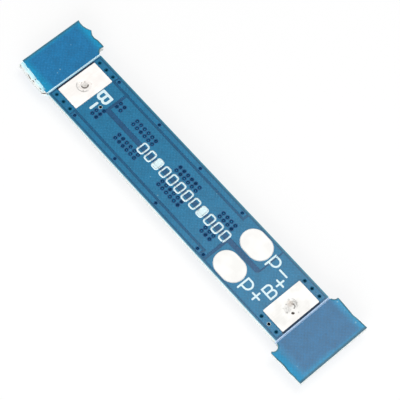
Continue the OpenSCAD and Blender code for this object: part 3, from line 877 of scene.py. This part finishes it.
def makeBoxTree():
    given, result, tree = geometryTree("inspectionBoxes", "pitch width height stroke thickness",
                                       "count firstFilled secondFilled")
    row = output(tree, "GeometryNodeMeshLine",
                 {"Count": given["count"], "Offset": vector(tree, given["pitch"])},
                 {"mode": "OFFSET"})
    width, height = (minus(given[side], given["stroke"]) for side in ("width", "height"))
    line = output(tree, "GeometryNodeFilletCurve",
                  {"Curve": rectangle(width, height), "Count": 3, "Radius": given["stroke"],
                   "Limit Radius": True}, {"mode": "POLY"})
    outline = swept(line, rectangle(given["stroke"], given["thickness"]))
    block = output(tree, "GeometryNodeMeshCube",
                   {"Size": vector(tree, minus(width, given["stroke"]),
                                   minus(height, given["stroke"]), given["thickness"])})
    index = output(tree, "GeometryNodeInputIndex")
    filled = logic("OR", *(output(tree, "FunctionNodeCompare", {2: index, 3: given[name]},
                                  {"data_type": "INT", "operation": "EQUAL"})
                           for name in ("firstFilled", "secondFilled")))
    shape = joined(onPoints(row, outline), onPoints(row, block, Selection=filled))
    return closeTree(given, result, shape)


def makeInspectionBoxes():
    piece = addObject("inspectionBoxes", bpy.data.meshes.new("inspectionBoxes"))
    growOn(piece, makeBoxTree(), {**boxes, "coat": inkMaterial})
    piece.data.transform(Matrix.Translation((boxes["first"], boxes["middle"], 0)))
    drape(piece.data, [((0, 1, 0), side * edge) for side in (-1, 1) for edge in boxes["channel"]])
    finishPiece(piece)


makeInspectionBoxes()
print("inspection boxes printed")

# vias: a land on the pad side, a coated wall and a dome of mask sunk in the bore
via = {
    "bore": 0.35 * mm,
    "land": 0.56 * mm,
    "smallLand": 0.47 * mm,
    "landHeight": 0.012 * mm,
    "wall": 0.02 * mm,
    "depth": boardHigh.z - boardLow.z,
    "domeHeight": 0.085 * mm,
    "collar": 0.41 * mm,  # thick mask round the mouth
    "sunk": (0.0, 0.05 * mm),  # how deep a dome may sit in a covered via
    "halfSunk": (0.02 * mm, 0.05 * mm),  # in one that stands alone
    "deep": (0.20 * mm, 0.26 * mm),  # and in an open one
    "seed": 11,
    "widest": 0.5 * mm,  # a wider hole isn't a via
    "outerRow": 2.9 * mm,  # vias further than this from the middle line stand in the outer rows
    "besideTab": 1.4 * mm,  # and those this near a tab's middle stand beside it
    "coats": {  # over the land, on a shallow dome and deep down, or over the land and the rest
        # the colours deep down and for the rest are painted shade in the bore
        "viaMask": ((0.040, 0.132, 0.300, 1), (0.014, 0.170, 0.360, 1), (0.001, 0.050, 0.145, 1)),
        "viaDeepShadeMask": ((0.010, 0.104, 0.192, 1), (0.001, 0.096, 0.186, 1)),
        "viaTin": ((0.68, 0.84, 0.88, 1), (0.001, 0.004, 0.014, 1)),
    },
    "domeBand": (-0.045 * mm, -0.012 * mm),  # levels from the pad side where the coats change
    "lipBand": (-0.004 * mm, -0.001 * mm),
    "landBand": (0.006 * mm, 0.009 * mm),
}


def findVias(mesh):
    # an upright island of faces that is narrow and as deep as the board is a via's wall
    shape = weldedShape(mesh, 0.0001 * mm)
    walls = {face for face in shape.faces if abs(face.normal.z) < 0.1}
    places = []
    while walls:
        island = [walls.pop()]
        for face in island:
            around = {other for edge in face.edges for other in edge.link_faces} & walls
            walls -= around
            island.extend(around)
        points = [vert.co for face in island for vert in face.verts]
        low, high = (Vector(map(pick, zip(*points))) for pick in (min, max))
        span = high - low
        if max(span.xy) < via["widest"] and span.z > 0.8 * via["depth"]:
            places.append(((low.x + high.x) / 2, (low.y + high.y) / 2))
    shape.free()
    return sorted(places)


def flatRing(radius, half, height):
    # a ring of round section, squashed to a height either side of its middle
    tree = half.id_data
    ring = swept(circle(tree, roundSteps, radius), circle(tree, sectionSteps, half))
    return placed(ring, calc("DIVIDE", height, half))


def makeViaTree():
    given, result, tree = geometryTree(
        "vias", "bore land landHeight collar wall depth domeHeight sunkLeast sunkMost", "seed")
    bore, collar, land = (times(given[name], 0.5) for name in ("bore", "collar", "land"))
    # land: a flattened ring round the collar
    half = times(minus(land, collar), 0.5)
    landRing = flatRing(plus(collar, half), half, given["landHeight"])
    # wall: a thin sleeve down the bore
    sleeve = circle(tree, roundSteps, minus(bore, times(given["wall"], 0.4)))
    sleeve = swept(sleeve, rectangle(given["wall"], given["depth"]))
    sleeve = placed(sleeve, lift=times(given["depth"], -0.5))
    # collar: a low lip from inside the mouth to under the land
    half = calc("MULTIPLY_ADD", minus(collar, bore), 0.5, given["wall"])
    middle = minus(plus(collar, times(given["wall"], 0.5)), half)
    lip = flatRing(middle, half, times(given["landHeight"], 0.4))
    lined = onPoints(given["shape"], joined(landRing, sleeve, lip))
    # dome: mask that has sunk into the bore, to a different depth in each via
    chance = output(tree, "FunctionNodeRandomValue", {"Seed": given["seed"]}, which=1)
    spread = minus(given["sunkMost"], given["sunkLeast"])
    depth = calc("MULTIPLY_ADD", calc("POWER", chance, 4.0), spread, given["sunkLeast"])
    depth = times(plus(depth, given["domeHeight"]), -1.0)
    lowered = output(tree, "GeometryNodeSetPosition",
                     {"Geometry": given["shape"], "Offset": vector(tree, z=depth)})
    ball = output(tree, "GeometryNodeMeshUVSphere",
                  {"Segments": 12, "Rings": 8, "Radius": minus(bore, given["wall"])})
    dome = placed(ball, calc("DIVIDE", given["domeHeight"], bore))
    return closeTree(given, result, joined(lined, onPoints(lowered, dome)))


def makeViaMaterial(name):
    # lighter over the land and on top of a shallow dome, dark lower down and at the lip: painted
    # shade in the bore
    material, shader, coords = newMaterial(name, {"Specular IOR Level": 0.15})
    land, *rest = via["coats"][name]
    z = split(coords)[2]
    raised, lip, onLand = (fade(z, *(padSide + level for level in via[band]))
                           for band in ("domeBand", "lipBand", "landBand"))
    tint = mixColour(raised, rest[-1], rest[0])
    # painted shade at the mouth
    tint = mixColour(lip, tint, rest[-1])
    tint = mixColour(onLand, tint, land)
    tint = shaded(tint, fade(noise(coords, 2.0), 0.35, 0.65, 0.88, 1.1))
    connect(shader, {"Base Color": tint, "Roughness": fade(raised, 0.0, 1.0, 0.7, 0.3)})
    return material


def makeVias():
    tree = makeViaTree()
    places = findVias(boardShape)
    minusTab, plusTab = (centreOf("nickel_tab_" + side) for side in sides)
    outer = [p for p in places if abs(p[1]) > via["outerRow"]]
    inner = [p for p in places if p not in outer]
    besideTabs = [p for p in outer if abs(abs(p[0]) - plusTab.x) < via["besideTab"]]
    # two are not masked: the one nearest the minus tab, and the middle one below the plus tab
    tinned = [min(inner, key=lambda p: math.dist(p, minusTab[:2])),
              min((p for p in besideTabs if p[1] < 0), key=lambda p: abs(p[0] - plusTab.x))]
    coat, deepShadeCoat, bright = (makeViaMaterial(name) for name in via["coats"])
    groups = (  # places, material, slot, land, collar and how deep the dome sits
        ("viasCovered", inner, coat, "laminate", "land", "collar", "sunk"),
        ("viasLone", [p for p in outer if p not in besideTabs], coat, "laminate", "smallLand",
         "bore", "halfSunk"),
        ("viasOpen", besideTabs, deepShadeCoat, "laminate", "smallLand", "collar", "deep"),
        ("viasBright", tinned, bright, "solder", "smallLand", "bore", "deep"))
    for name, group, material, slot, land, collar, depth in groups:
        group = [p for p in group if name == "viasBright" or p not in tinned]
        mesh = bpy.data.meshes.new(name)
        mesh.from_pydata([(x, y, padSide) for x, y in group], [], [])
        piece = growOn(addObject(name, mesh), tree, {
            **via, "land": via[land], "collar": via[collar], "sunkLeast": via[depth][0],
            "sunkMost": via[depth][1], "coat": material})
        finishPiece(piece)
        print(name + ":", len(group))


makeVias()

# broken edges: frayed glass, torn mask, and dark flecks of scorched resin and painted shadow
fray = {
    "density": 18 / mm ** 2,
    "lengthLeast": 0.05 * mm,
    "lengthMost": 0.20 * mm,
    "radius": 0.011 * mm,
    "lean": 0.9,  # radians off square
    "fibreStart": halfLength + 0.8 * mm,
    "rim": 0.075 * mm,
    "rimStart": halfLength + board["scoreHalfWidth"] + 0.02 * mm,
    "flatness": 0.35,
    "ledgeDepth": 3.2 * mm,
    "edgeAngle": math.radians(60),  # sharper edges get a rim
    "highest": padSide + 0.03 * mm,
    "fleckHeight": 0.02 * mm,
    "seed": 5,
    "glass": (0.92, 0.95, 0.95, 1),
    "tornMask": (0.050, 0.230, 0.320, 1),
    "tornShade": (0.020, 0.140, 0.200, 1),
    "scorched": (0.050, 0.036, 0.032, 1),
    "singed": (0.13, 0.095, 0.075, 1),
}
flecks = (  # middle, length, width and turn in degrees of each dark sliver
    ((-23.71, -3.81), 0.50, 0.07, -30),
    ((-22.04, -3.91), 0.85, 0.09, -12),
    ((-21.39, -3.61), 0.20, 0.10, 0),
    ((-21.34, -3.91), 0.40, 0.09, -5),
    ((-20.09, -3.91), 0.33, 0.10, 0),
    # these two paint the shadow in the corner by the score groove's end
    ((-19.40, -3.98), 0.62, 0.13, 38),
    ((-18.92, -3.77), 0.42, 0.15, 18),
)


def boardCopy(name):
    return addShape(name, weldedShape(boardShape, 0.0001 * mm))


def keepInside(shape):
    # no point passes the board's own outline box
    spot = output(shape.id_data, "GeometryNodeInputPosition")
    spot = vectorCalc("MAXIMUM", spot, tuple(boardLow))
    spot = vectorCalc("MINIMUM", spot, (boardHigh.x, boardHigh.y, fray["highest"]))
    return output(shape.id_data, "GeometryNodeSetPosition", {"Geometry": shape, "Position": spot})


def makeFibreTree():
    # short stubs of glass on the broken sides of the rails
    given, result, tree = geometryTree(
        "frayedGlass", "density lengthLeast lengthMost radius lean fibreStart", "seed")
    x = split(output(tree, "GeometryNodeInputPosition"))[0]
    facing = split(output(tree, "GeometryNodeInputNormal"))[1]
    broken = logic("AND", above(sizeOf(x), given["fibreStart"]), above(sizeOf(facing), 0.6))
    spread = addNode(tree, "GeometryNodeDistributePointsOnFaces",
                     {"Mesh": given["shape"], "Selection": broken, "Density": given["density"],
                      "Seed": given["seed"]}).outputs
    stub = output(tree, "GeometryNodeMeshCone",
                  {"Vertices": 4, "Radius Top": times(given["radius"], 0.5),
                   "Radius Bottom": given["radius"], "Depth": 1.0})
    back = times(given["lean"], -1.0)
    lean = output(tree, "FunctionNodeRandomValue",
                  {0: vector(tree, back, back), "Seed": given["seed"],
                   1: vector(tree, given["lean"], given["lean"], 3.1)},
                  {"data_type": "FLOAT_VECTOR"})
    lean = output(tree, "FunctionNodeEulerToRotation", {0: lean})
    turned = output(tree, "FunctionNodeRotateRotation", {0: spread["Rotation"], 1: lean},
                    {"rotation_space": "LOCAL"})
    length = output(tree, "FunctionNodeRandomValue",
                    {2: given["lengthLeast"], 3: given["lengthMost"], "Seed": given["seed"]},
                    which=1)
    stubs = onPoints(spread["Points"], stub, Rotation=turned,
                     Scale=vector(tree, 1.0, 1.0, length))
    return closeTree(given, result, stubs, keepInside)


def makeRimTree():
    # a thin line of crushed mask along the outline of the pad side
    given, result, tree = geometryTree("crushedRim", "rim flatness level rimStart ledgeDepth")
    x, y, z = split(output(tree, "GeometryNodeInputPosition"))
    steep = above(output(tree, "GeometryNodeInputMeshEdgeAngle"), fray["edgeAngle"])
    # the mask above the minus rail's ledge tore thin, so it has no rim
    offLedge = calc("MAXIMUM", x, plus(y, given["ledgeDepth"]))
    chosen = logic("AND", steep, above(z, given["level"]), above(sizeOf(x), given["rimStart"]),
                   above(offLedge, 0.0))
    line = output(tree, "GeometryNodeMeshToCurve", {"Mesh": given["shape"], "Selection": chosen})
    rim = swept(line, circle(tree, sectionSteps, given["rim"]), True)
    lift = times(given["level"], minus(1.0, given["flatness"]))
    return closeTree(given, result, placed(rim, given["flatness"], lift), keepInside)


def makeFlecks(material):
    # dark slivers on the ledge of the minus rail: scorched resin, and painted shadow in the
    # corner by the score groove
    whole = bmesh.new()
    for place, length, width, turn in flecks:
        hit = surfaceAt(place[0] * mm, place[1] * mm)
        if hit is not None:
            reach = Matrix.Diagonal((length * mm, width * mm, fray["fleckHeight"], 1))
            turned = Matrix.Rotation(math.radians(turn), 4, "Z")
            bmesh.ops.create_icosphere(whole, subdivisions=2, radius=0.5,
                                       matrix=Matrix.Translation(hit) @ turned @ reach)
    finishPiece(addShape("scorchAndShadowFlecks", whole), material)


def makeGlass():
    # loose fibre, tinted near the mask by the light that comes through it
    material, shader, coords = newMaterial("frayedGlass", {"Roughness": 0.5})
    glow = useGroup(tornGlow, coords=coords, **ledge)["mask"]
    connect(shader, {"Base Color": mixColour(glow, fray["glass"], mask["throughMask"])})
    return material


def makeBrokenEdges():
    torn = plainMaterial("crushedMask", fray["tornMask"], fray["tornShade"], 0.5, 10.0, 0.004)
    scorched = plainMaterial("scorchAndShadowResin", fray["scorched"], fray["singed"], 0.7, 9.0, 0.004)
    fibres = growOn(boardCopy("frayedGlass"), makeFibreTree(), {**fray, "coat": makeGlass()})
    finishPiece(fibres)
    rim = growOn(boardCopy("crushedRim"), makeRimTree(),
                 {**fray, "level": laminateTop - 0.002 * mm, "coat": torn})
    finishPiece(rim)
    makeFlecks(scorched)
    print("broken edges:", len(fibres.data.polygons), "fibre faces,",
          len(rim.data.polygons), "rim faces")


makeBrokenEdges()

# floor, lamps and world
studio = {
    "floorSize": 1.2,
    "floorDrop": 0.01 * mm,
    "floorColour": (0.26, 0.26, 0.26, 1),
    "floorLift": 0.76,  # share of the floor's white that shadows don't take away
    "white": (1, 1, 1, 1),
    "skyLight": 0.48,
    "lamps": (  # place, size, power and whether it shows in reflections
        ((-0.002, 0.091, 0.30), 0.15, 0.235, True),  # its reflection lies over the plus end
        ((0.20, -0.22, 0.12), 0.24, 0.82, False),  # lights the walls
        ((0.0, 0.0, -0.25), 0.35, 0.80, True),  # from below, for the component side
    ),
}


def seenDirectly(tree):
    # 1 for camera, mirror and glass rays
    path = addNode(tree, "ShaderNodeLightPath").outputs
    seen = calc("MAXIMUM", path["Is Camera Ray"], path["Is Glossy Ray"])
    return calc("MAXIMUM", seen, path["Is Transmission Ray"])


def makeFloor():
    s, z = studio["floorSize"] / 2, -studio["floorDrop"]
    mesh = bpy.data.meshes.new("floor")
    mesh.from_pydata([(-s, -s, z), (s, -s, z), (s, s, z), (-s, s, z)], [], [(0, 1, 2, 3)])
    material = bpy.data.materials.new("floorPaper")
    tree = emptyTree(material)
    paper = output(tree, "ShaderNodeBsdfDiffuse", {"Color": studio["floorColour"]})
    glow = output(tree, "ShaderNodeEmission", {
        "Color": studio["white"], "Strength": times(seenDirectly(tree), studio["floorLift"])})
    both = output(tree, "ShaderNodeAddShader", {0: paper, 1: glow})
    # from below it is clear, and it lets the lower lamp's light through
    behind = calc("MAXIMUM", output(tree, "ShaderNodeNewGeometry", which="Backfacing"),
                  output(tree, "ShaderNodeLightPath", which="Is Shadow Ray"))
    both = output(tree, "ShaderNodeMixShader",
                  {0: behind, 1: both, 2: output(tree, "ShaderNodeBsdfTransparent")})
    addNode(tree, "ShaderNodeOutputMaterial", {"Surface": both})
    mesh.materials.append(material)
    addObject("floor", mesh)


def makeWorld():
    world = bpy.data.worlds.new("studio")
    bpy.context.scene.world = world
    tree = emptyTree(world)
    strength = fade(seenDirectly(tree), 0.0, 1.0, studio["skyLight"], 1.0)
    sky = output(tree, "ShaderNodeBackground", {"Color": studio["white"], "Strength": strength})
    addNode(tree, "ShaderNodeOutputWorld", {"Surface": sky})


def makeLamps():
    for number, (place, size, power, mirrored) in enumerate(studio["lamps"]):
        lamp = bpy.data.lights.new(f"softbox{number + 1}", "AREA")
        lamp.shape, lamp.size, lamp.energy = "SQUARE", size, power
        holder = addObject(lamp.name, lamp)
        holder.location = place
        holder.visible_glossy = mirrored
        aim = Vector((0, 0, padSide)) - Vector(place)
        holder.rotation_euler = aim.to_track_quat("-Z", "Y").to_euler()


makeFloor()
makeWorld()
makeLamps()
bpy.context.scene.view_settings.view_transform = "Standard"
print("studio lit")
